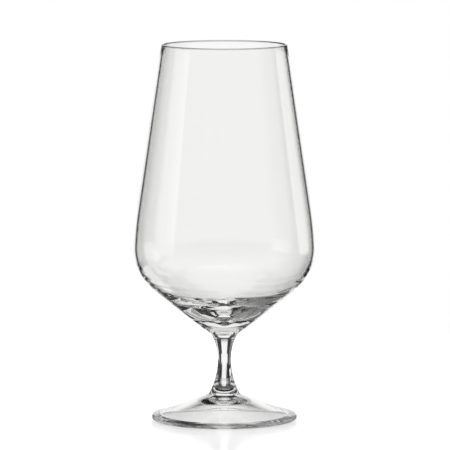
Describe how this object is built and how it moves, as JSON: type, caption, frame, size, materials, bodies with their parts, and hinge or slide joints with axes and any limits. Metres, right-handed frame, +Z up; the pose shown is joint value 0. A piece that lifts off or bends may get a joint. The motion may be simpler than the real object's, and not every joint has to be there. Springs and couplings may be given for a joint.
{
  "type": "tulip beer glass",
  "caption": "Stemmed tulip beer glass in clear glass: a deep bowl with a low belly narrowing to the mouth, a short waisted stem and a wide domed foot.",
  "frame": {"origin": "centre of the flat ring under the foot, on the surface that the glass stands on", "axes": "+Z up along the axis of the glass, from the foot to the mouth; X and Y are free because the glass is round"},
  "size_m": [0.09, 0.09, 0.1865],
  "materials": {
    "bowl_glass": "clear blown glass, fire polished, thin walled",
    "stem_glass": "clear drawn glass, fire polished, solid",
    "foot_glass": "clear spun glass, fire polished, with faint spinning rings"
  },
  "bodies": {
    "root": {"bowl": "bowl_glass", "stem": "stem_glass", "foot": "foot_glass"}
  },
  "joints": []
}
